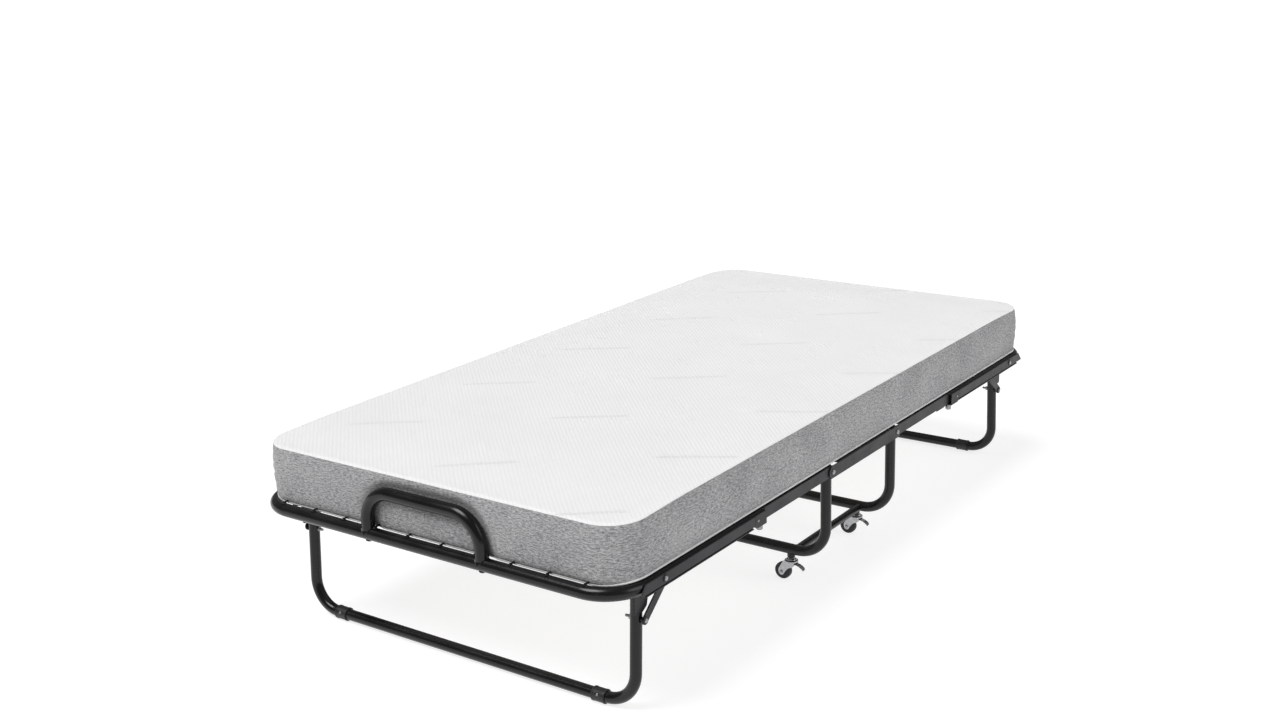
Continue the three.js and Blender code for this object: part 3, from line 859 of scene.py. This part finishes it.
def caster_fork(end, side):
    """Pressed dish over a ball race, two cheeks, the axle rivet and the stem."""
    centre = Vector((ENDS[end] * HINGE_X, SIDES[side] * CASTER_Y, 0))
    piece = Piece(f"{end}_{side}_fork_pressed", CHROME)
    dish = [(0, 44), (14.2, 44), (15.6, 45), (16, 46.6), (15.4, 48.4), (13.4, 49.6), (11.8, 49.8),
            (11.4, 51.2), (10.2, 52.6), (8, 53.2), (7.6, 54.6), (6, 55.2), (5, 55.4), (5, 71), (0, 71)]
    piece.lathe([(r * MM, z * MM) for r, z in dish], centre, (0, 0, 1), 40)
    outer = CHEEK_X + CHEEK
    cheek = [(-12, 48), (-12.5, 38), (-6, 33.5), (3, 30), (11, 20), (15, 12.8), (20.5, 10.4), (25.6, 13),
             (28, 19), (27.5, 25), (20, 38), (14.5, 48)]
    outline = rounded([(y * MM, z * MM) for y, z in cheek], 4 * MM)
    for x in (-outer, CHEEK_X):
        place = Matrix.Translation(centre) @ Matrix(((0, 0, 1, x), (1, 0, 0, 0), (0, 1, 0, 0), (0, 0, 0, 1)))
        piece.plate(outline, CHEEK, place, 0.5 * MM)
    axle = centre + Vector((0, TRAIL, WHEEL_R))
    for way in (-1, 1):
        dome_bolt(piece, axle + Vector((way * outer, 0, 0)), (way, 0, 0), 4 * MM)
    piece.lathe([(0, -outer), (3 * MM, -outer), (3 * MM, outer), (0, outer)], axle, (1, 0, 0), 16)
    piece.on(f"{end}_{side}_fork", f"{end}_{side}_caster_fork")


def caster_wheel(end, side):
    """A rubber tread on a plastic core with a dished hub."""
    centre = Vector((ENDS[end] * HINGE_X, SIDES[side] * CASTER_Y + TRAIL, WHEEL_R))
    piece = Piece(f"{end}_{side}_wheel_turned", RUBBER)
    half = 7.5
    edge = WHEEL_R / MM
    tread = [(13.8, -half + 0.6), (14.2, -half), (16.6, -half), (18.4, -half + 0.7), (19.2, -half + 2),
             (edge, -half + 4), (edge, half - 4), (19.2, half - 2), (18.4, half - 0.7), (16.6, half),
             (14.2, half), (13.8, half - 0.6)]
    piece.lathe([(r * MM, x * MM) for r, x in tread], centre, (1, 0, 0), 56)
    piece.use(PLASTIC)
    core = [(3.3, -half), (6.4, -half), (7, -half + 0.6), (7.4, -half + 2.4), (12.6, -half + 2.4),
            (13.4, -half + 0.6), (14, -half + 0.4), (14, half - 0.4), (13.4, half - 0.6),
            (12.6, half - 2.4), (7.4, half - 2.4), (7, half - 0.6), (6.4, half), (3.3, half)]
    piece.lathe([(r * MM, x * MM) for r, x in core], centre, (1, 0, 0), 40)
    piece.on(f"{end}_{side}_wheel", f"{end}_{side}_caster_wheel")


def caster_pedal(end, side):
    """A curved pressed lever with a turned-down lip, on its cross pin."""
    centre = Vector((ENDS[end] * HINGE_X, SIDES[side] * CASTER_Y, 0))
    piece = Piece(f"{end}_{side}_pedal_pressed", CHROME)
    spine = [(-2.5, 31), (-4.5, 36), (-8, 39.4), (-14, 40.4),
             (-20, 39), (-26, 36), (-30.4, 32.4), (-32, 28.6)]
    half_width = 6.5 * MM
    thick = 0.9 * MM
    rings = []
    for i, (y, z) in enumerate(spine):
        before, after = spine[max(i - 1, 0)], spine[min(i + 1, len(spine) - 1)]
        heading = Vector((0, after[0] - before[0], after[1] - before[1])).normalized()
        up = Vector((1, 0, 0)).cross(heading)
        tip = 0.72 if i in (0, len(spine) - 1) else 1.0
        section = rounded([(-half_width * tip, -thick), (half_width * tip, -thick),
                           (half_width * tip, thick), (-half_width * tip, thick)], 0.6 * MM, 3)
        point = centre + Vector((0, y * MM, z * MM))
        rings.append([point + Vector((1, 0, 0)) * a + up * b for a, b in section])
    piece.loft(rings)
    pivot = centre + Vector((0, -5 * MM, 38 * MM))
    reach = CHEEK_X - 0.3 * MM
    piece.lathe([(0, -reach), (2 * MM, -reach), (2 * MM, reach), (0, reach)], pivot, (1, 0, 0), 16)
    piece.on(f"{end}_{side}_pedal", f"{end}_{side}_caster_pedal")


# --- bolts of the frame ---

def frame_bolts(end, side):
    """Bolt heads on the strip, the side angle and the bracket, and the stud under the bracket."""
    way, across = ENDS[end], SIDES[side]
    outward = (0, across, 0)
    piece = Piece(f"{end}_{side}_frame_bolts", ZINC)
    dome_bolt(piece, (way * STRIP_BOLT[0], across * STRIP_Y, STRIP_BOLT[1]), outward, 5 * MM, 8.5 * MM)
    dome_bolt(piece, (way * LINK_PIVOT[0], across * FLANGE_Y, LINK_PIVOT[1]), outward, 3.2 * MM)
    dome_bolt(piece, (way * BRACKET_RIVET[0], across * STRIP_Y, BRACKET_RIVET[1]), outward, 3 * MM)
    under = (way * BRACKET_STUD_X, across * (SIDE_Y + 4 * MM), TUBE_Z - TUBE_R - 2.6 * MM)
    stud = [(r * MM, z * MM) for r, z in ((0, 0), (6.6, 0), (7, 1), (7, 12), (6, 13.4), (0, 13.4))]
    piece.use(ZINC)
    piece.lathe(stud, under, (0, 0, -1), 24)
    piece.on(f"{end}_half")


def brace_bolt(end, side):
    way, across = ENDS[end], SIDES[side]
    piece = Piece(f"{end}_{side}_brace_bolt", ZINC)
    dome_bolt(piece, (way * LEG_LOWER[0], across * BRACE_Y, LEG_LOWER[1]), (0, across, 0), 5 * MM, 8.5 * MM)
    piece.on(f"{end}_brace")


def fold_bolt(end, side):
    way, across = ENDS[end], SIDES[side]
    piece = Piece(f"{end}_{side}_fold_bolt", ZINC)
    dome_bolt(piece, (way * HINGE_X, across * LINK_RAIL_Y, HINGE_Z), (0, across, 0), 6 * MM)
    piece.on("base")


# --- sheet pieces that keep their CAD shape ---

def soften(node, material, width=0.5 * MM):
    """Gives a CAD node its finish and slightly broken edges."""
    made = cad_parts[node]
    made.data.materials.clear()
    made.data.materials.append(material)
    made.data.shade_smooth()
    made.data.set_sharp_from_angle(angle=math.radians(30))
    edge = made.modifiers.new("edges", "BEVEL")
    edge.width = width
    edge.segments = 2
    edge.limit_method = "ANGLE"
    edge.angle_limit = math.radians(30)
    edge.harden_normals = True


# --- mattress ---

def smooth_step(value):
    t = min(1.0, max(0.0, value))
    return t * t * (3 - 2 * t)


def plan_stations():
    """Places along one side from the middle, as (x, half width, outward angle)."""
    straight = MATTRESS_X - MATTRESS_CORNER
    count = round(straight / PLAN_STEP)
    found = [(straight * i / count, MATTRESS_Y, 0.0) for i in range(count)]
    turns = 20
    for i in range(turns + 1):
        angle = math.pi / 2 * i / turns
        x = straight + MATTRESS_CORNER * math.sin(angle)
        y = MATTRESS_Y - MATTRESS_CORNER * (1 - math.cos(angle))
        found.append((x, y, angle))
    return found


def border(way):
    """The border's plan, from the middle along the right, round the end and back on the left."""
    side = plan_stations()
    loop = [(Vector((way * x, -y)), Vector((way * math.sin(a), -math.cos(a)))) for x, y, a in side]
    end_y = side[-1][1]
    for j in range(1, COLUMNS):
        loop.append((Vector((way * MATTRESS_X, end_y * (2 * j / COLUMNS - 1))), Vector((way, 0))))
    loop += [(Vector((way * x, y)), Vector((way * math.sin(a), math.cos(a)))) for x, y, a in side[::-1]]
    return loop


def border_profile():
    """Inward distance and height of each ring of the border, from the top face down."""
    top = MATTRESS_HEIGHT
    rings = [(TOP_EDGE, top), (5.5 * MM, top - 0.6 * MM), (2.6 * MM, top - 2.0 * MM)]
    rings += [(1.3 * MM, top - 3.6 * MM), (1.9 * MM, top - 4.6 * MM), (0.7 * MM, top - 6.2 * MM)]
    count = 26
    high_z, low_z = top - 9 * MM, 10 * MM
    for i in range(count + 1):
        z = high_z + (low_z - high_z) * i / count
        swell = max(0.0, math.sin(math.pi * i / count)) ** 0.8
        rings.append((-BULGE * swell, z))
    rings += [(0.6 * MM, 7 * MM), (2.2 * MM, 3.4 * MM), (5 * MM, 1.2 * MM), (9 * MM, 0.2 * MM)]
    rings.append((TOP_EDGE + 4 * MM, 0))
    return rings


def wall_play(place, outward, s, z):
    """How far the border stands out at a place: soft waves, and creases at the corners."""
    middle = math.sin(math.pi * z / MATTRESS_HEIGHT)
    waves = noise.noise(Vector((s * 5.5, z * 9, 1.7))) * 1.6 * MM
    fine = noise.noise(Vector((s * 21, z * 34, 4.1))) * 0.6 * MM
    corner = 4 * (outward.x * outward.y) ** 2
    drift = noise.noise(Vector((s * 9, place.x * 3, 8.8))) * 0.4
    crease = 0.0
    for level, depth, width in ((0.22, 1.5, 4.5), (0.43, 2.4, 5.5), (0.60, 1.6, 4.0), (0.80, 1.2, 4.0)):
        offset = (z / MATTRESS_HEIGHT - level - 0.05 * drift) * MATTRESS_HEIGHT / (width * MM)
        crease += depth * MM * math.exp(-offset * offset)
    return middle * (waves + fine) - corner * crease


def handle_gap(y, z):
    """Distance from the middle line of the handle, in the plane of the bed's end."""
    y = abs(y)
    bend_y, bend_z = HANDLE_Y - HANDLE_BEND, HANDLE_Z - HANDLE_BEND
    if y > bend_y and z > bend_z:
        return abs(math.hypot(y - bend_y, z - bend_z) - HANDLE_BEND)
    return min(abs(y - HANDLE_Y), abs(z - HANDLE_Z))


def freedom(place, outward, z):
    """0 where the handle presses on the foam, 1 away from it."""
    if abs(outward.x) < 0.5:
        return 1.0
    return smooth_step((handle_gap(place.y, MATTRESS_BOTTOM + z) - 10 * MM) / (22 * MM))


def hem_drop(outward, inward, z):
    """How far the border's lower edge hangs down past the deck, on to the tubes."""
    past_deck = smooth_step((TOP_EDGE + 4 * MM - inward) / (6 * MM))
    sag = HEM_SAG + END_SAG * outward.x ** 2
    return sag * past_deck * (1 - smooth_step((z - 10 * MM) / (26 * MM)))


def border_point(place, outward, inward, z, play=0.0):
    """A point of the border: the ends stand out a little, and the lower edge sags."""
    reach = (END_PUSH * outward.x ** 2 + max(0.0, -inward) + play) * freedom(place, outward, z)
    spot = place + outward * (reach - max(0.0, inward))
    if abs(outward.x) < 1e-9:
        spot.x = place.x
    lift = top_height(spot.x, spot.y, 0) - MATTRESS_HEIGHT if z > MATTRESS_HEIGHT / 2 else 0.0
    return Vector((spot.x, spot.y, MATTRESS_BOTTOM + z + lift - hem_drop(outward, inward, z)))


def top_height(x, y, edge):
    """Height of the top face: a low crown, with the slack of a knit cover."""
    near_end = smooth_step((abs(x) - MATTRESS_X + 0.22) / 0.22)
    rise = CROWN * smooth_step(edge / 0.14) + SIDE_LIFT * (1 - near_end)
    slack = noise.noise(Vector((x * 4.2, y * 4.2, 2.3))) * 1.4 * MM
    ripple = noise.noise(Vector((x * 14, y * 14, 6.1))) * 0.4 * MM
    return MATTRESS_HEIGHT + rise + (slack + ripple) * smooth_step(edge / 0.08)


def mattress_half(end):
    way = ENDS[end]
    piece = Piece(f"{end}_mattress_cover", KNIT)
    loop = border(way)
    profile = border_profile()
    lengths = [0.0]
    for (a, _), (b, _) in zip(loop, loop[1:]):
        lengths.append(lengths[-1] + (b - a).length)
    heights = [0.0]
    for (a, za), (b, zb) in zip(profile, profile[1:]):
        heights.append(heights[-1] + math.hypot(a - b, za - zb))
    rings = []
    for inward, z in profile:
        start = len(piece.points)
        for (place, outward), s in zip(loop, lengths):
            play = wall_play(place, outward, s, z) if 8 * MM < z < MATTRESS_HEIGHT - 5 * MM else 0.0
            piece.points.append(border_point(place, outward, inward, z, play))
        rings.append(start)
    seam_ring, under_ring = 4, len(profile) - 4
    for k in range(len(rings) - 1):
        piece.use(KNIT if k < seam_ring else MELANGE if k < under_ring else BACKING)
        for i in range(len(loop) - 1):
            corners = [rings[k] + i, rings[k] + i + 1, rings[k + 1] + i + 1, rings[k + 1] + i]
            if MELANGE.name == piece.materials[piece.current].name:
                uv = [(lengths[i], -heights[k]), (lengths[i + 1], -heights[k]),
                      (lengths[i + 1], -heights[k + 1]), (lengths[i], -heights[k + 1])]
            else:
                uv = [tuple(piece.points[c].xy) for c in corners]
            piece.face(corners, uv)
    top_row = flat_face(piece, rings[0], len(loop), KNIT)
    bottom_row = flat_face(piece, rings[-1], len(loop), BACKING)
    close_middle(piece, rings, len(loop), top_row, bottom_row)
    made = piece.done(60)
    blend_half(made)
    replaced = [f"{end}_mattress"] + (["middle_mattress"] if end == "foot" else [])
    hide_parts(*replaced)
    return made


def flat_face(piece, ring, count, material):
    """Fills the top or the bottom between the two sides of a ring, and returns its first row."""
    piece.use(material)
    rows = (count - COLUMNS + 1) // 2
    on_top = material is KNIT
    grid = []
    for i in range(rows):
        right, left = ring + i, ring + count - 1 - i
        if i == rows - 1:
            grid.append([ring + rows - 1 + j for j in range(COLUMNS + 1)])
            continue
        row = [right]
        a, b = piece.points[right], piece.points[left]
        for j in range(1, COLUMNS):
            point = a.lerp(b, j / COLUMNS)
            edge = min(abs(a.y - point.y), abs(b.y - point.y), MATTRESS_X - TOP_EDGE - abs(point.x))
            if on_top:
                point.z = MATTRESS_BOTTOM + top_height(point.x, point.y, edge)
            row.append(len(piece.points))
            piece.points.append(point)
        row.append(left)
        grid.append(row)
    for near, far in zip(grid, grid[1:]):
        for j in range(COLUMNS):
            corners = [near[j], near[j + 1], far[j + 1], far[j]]
            piece.face(corners, [tuple(piece.points[c].xy) for c in corners])
    return grid[0]


def close_middle(piece, rings, count, top_row, bottom_row):
    """The hidden cut face where the two halves of the cover meet."""
    piece.use(BACKING)
    left = [ring + count - 1 for ring in rings]
    piece.face(top_row + left[1:-1] + bottom_row[::-1] + rings[1:-1][::-1])


def blend_half(made):
    """Bakes the object's placement into its mesh."""
    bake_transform(made)


def piping(end):
    """The white cord sewn along the bottom edge of the border."""
    piece = Piece(f"{end}_mattress_piping", PIPING)
    radius = 2.3 * MM
    sides = 10
    starts = []
    length = 0.0
    lengths = []
    loop = border(ENDS[end])
    for i, (place, outward) in enumerate(loop):
        if i:
            length += (place - loop[i - 1][0]).length
        lengths.append(length)
        starts.append(len(piece.points))
        tucked = outward.x ** 2
        middle = border_point(place, outward, (0.2 + 3.2 * tucked) * MM, (4.2 - 1.6 * tucked) * MM)
        for j in range(sides):
            turn = 2 * math.pi * j / sides
            point = middle + Vector((outward.x, outward.y, 0)) * radius * math.cos(turn)
            piece.points.append(point + Vector((0, 0, radius * math.sin(turn))))
    for i in range(len(loop) - 1):
        for j in range(sides):
            k = (j + 1) % sides
            corners = [starts[i] + j, starts[i] + k, starts[i + 1] + k, starts[i + 1] + j]
            girth = [radius * 2 * math.pi * n / sides for n in (j, j + 1, j + 1, j)]
            along = [lengths[i], lengths[i], lengths[i + 1], lengths[i + 1]]
            piece.face(corners, list(zip(along, girth)))
    for start in (starts[0], starts[-1]):
        piece.face([start + j for j in range(sides)])
    made = piece.done()
    blend_half(made)


# --- build ---

for end in ENDS:
    end_tube(end)
    handle(end)
    deck(end, "outer", END_X + 3 * MM, OUTER_BARS[0] - 6 * MM, OUTER_BARS, OUTER_CROSS_WIRES)
    deck(end, "inner", INNER_BARS[0] + 6 * MM, INNER_BARS[1] - 6 * MM, INNER_BARS, INNER_CROSS_WIRES)
    leg_frame(end)
    u_frame(end)
    soften(f"{end}_support_bar", SHEET_PAINT)
    for side in SIDES:
        for part in ("side_angle", "joint_bracket", "inner_rail", "brace_bar", "short_link"):
            soften(f"{end}_{side}_{part}", SHEET_PAINT)
        foot_sleeve(end, side)
        caster_fork(end, side)
        caster_wheel(end, side)
        caster_pedal(end, side)
        frame_bolts(end, side)
        brace_bolt(end, side)
        fold_bolt(end, side)
    mattress_half(end)
    piping(end)
for side in SIDES:
    soften(f"{side}_link_rail", SHEET_PAINT)
    base_bar(side)


# --- stage: floor, light and camera ---

def floor():
    half = 30
    mesh = bpy.data.meshes.new("studio_floor")
    corners = [(-half, -half, 0), (half, -half, 0), (half, half, 0), (-half, half, 0)]
    mesh.from_pydata(corners, [], [(0, 1, 2, 3)])
    made = bpy.data.objects.new("studio_floor", mesh)
    bpy.context.scene.collection.objects.link(made)
    n = Nodes("pale_floor")
    n.surface(Base_Color=(0.36, 0.36, 0.36), Roughness=0.95, Specular_IOR_Level=0.0,
              Emission_Color=(1.0, 1.0, 1.0), Emission_Strength=0.78)
    mesh.materials.append(n.material)


def sun(name, strength, angle, elevation, azimuth):
    """A soft distant lamp, seen from the middle at that elevation and azimuth, in degrees."""
    data = bpy.data.lights.new(name, "SUN")
    data.energy = strength
    data.angle = math.radians(angle)
    made = bpy.data.objects.new(name, data)
    made.rotation_euler = Euler((math.radians(90 - elevation), 0, math.radians(azimuth + 90)))
    bpy.context.scene.collection.objects.link(made)


def studio_light():
    sun("key_light", 2.45, 34, 62, 150)
    sun("side_light", 0.85, 40, 30, -75)
    world = bpy.data.worlds.new("studio")
    bpy.context.scene.world = world
    world.use_nodes = True
    world.node_tree.nodes["Background"].inputs["Color"].default_value = (1, 1, 1, 1)
    world.node_tree.nodes["Background"].inputs["Strength"].default_value = 0.2
    bpy.context.scene.view_settings.view_transform = "Standard"


def camera():
    yaw, down, roll = (math.radians(value) for value in (CAMERA_YAW, CAMERA_DOWN, CAMERA_ROLL))
    forward = Vector((math.cos(yaw) * math.cos(down), math.sin(yaw) * math.cos(down), -math.sin(down)))
    level = Vector((math.sin(yaw), -math.cos(yaw), 0))
    upright = level.cross(forward)
    right = level * math.cos(roll) + upright * math.sin(roll)
    up = upright * math.cos(roll) - level * math.sin(roll)
    data = bpy.data.cameras.new("camera")
    data.lens = CAMERA_LENS
    data.sensor_width = 36
    data.sensor_fit = "HORIZONTAL"
    data.clip_end = 100
    made = bpy.data.objects.new("camera", data)
    turn = Matrix((right, up, -forward)).transposed().to_4x4()
    made.matrix_world = Matrix.Translation(CAMERA_PLACE) @ turn
    bpy.context.scene.collection.objects.link(made)
    bpy.context.scene.camera = made


floor()
studio_light()
camera()
